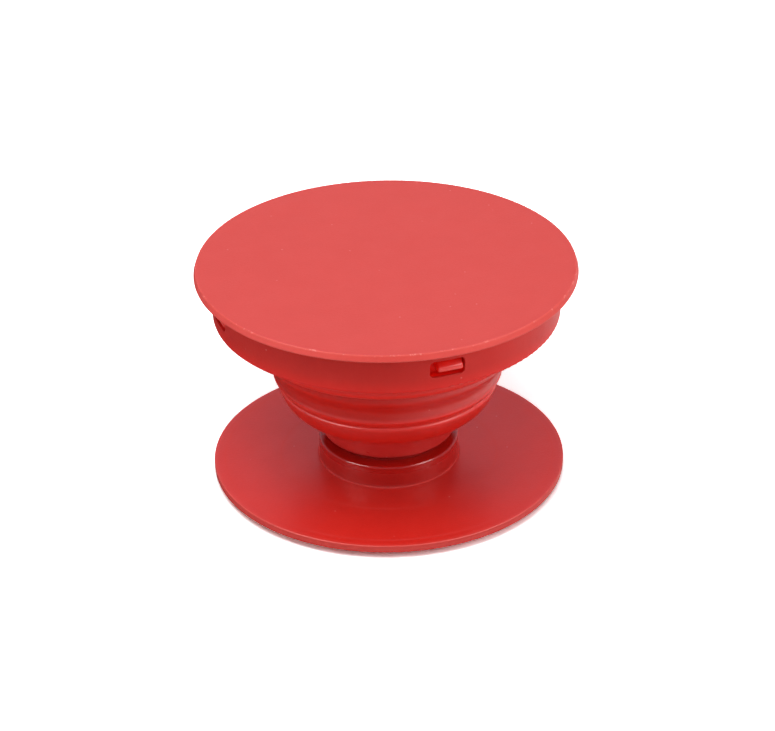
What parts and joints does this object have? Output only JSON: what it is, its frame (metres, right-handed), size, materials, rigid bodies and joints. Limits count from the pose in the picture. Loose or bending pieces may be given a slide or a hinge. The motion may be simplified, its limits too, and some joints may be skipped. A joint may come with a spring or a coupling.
{
  "type": "collapsible phone grip",
  "caption": "Collapsible grip for the back of a phone: a flat round cap on a folding bellows neck, which pushes down flat and swivels on an adhesive base plate.",
  "frame": {"origin": "centre of the adhesive face, where the grip meets the phone", "axes": "+Z is the grip's axis, from the adhesive face towards the cap; the windows in the skirt lie on X and Y"},
  "size_m": [0.04, 0.04, 0.0245],
  "materials": {
    "cap_red": "fine matte moulded red",
    "bellows_red": "satin soft-moulded red",
    "base_red": "satin moulded red",
    "pad_foam": "white adhesive foam"
  },
  "bodies": {
    "foot": {"base_plate": "base_red", "adhesive_pad": "pad_foam"},
    "neck": {"bellows": "bellows_red"},
    "head": {"cap": "cap_red"}
  },
  "joints": [
    {"name": "swivel", "type": "hinge", "parent": "foot", "child": "neck", "pos_m": [0, 0, 0.0041], "axis": [0, 0, 1], "continuous": true},
    {"name": "collapse", "type": "slide", "parent": "neck", "child": "head", "axis": [0, 0, 1], "range_m": [-0.01725, 0], "deforming": ["bellows"]}
  ]
}
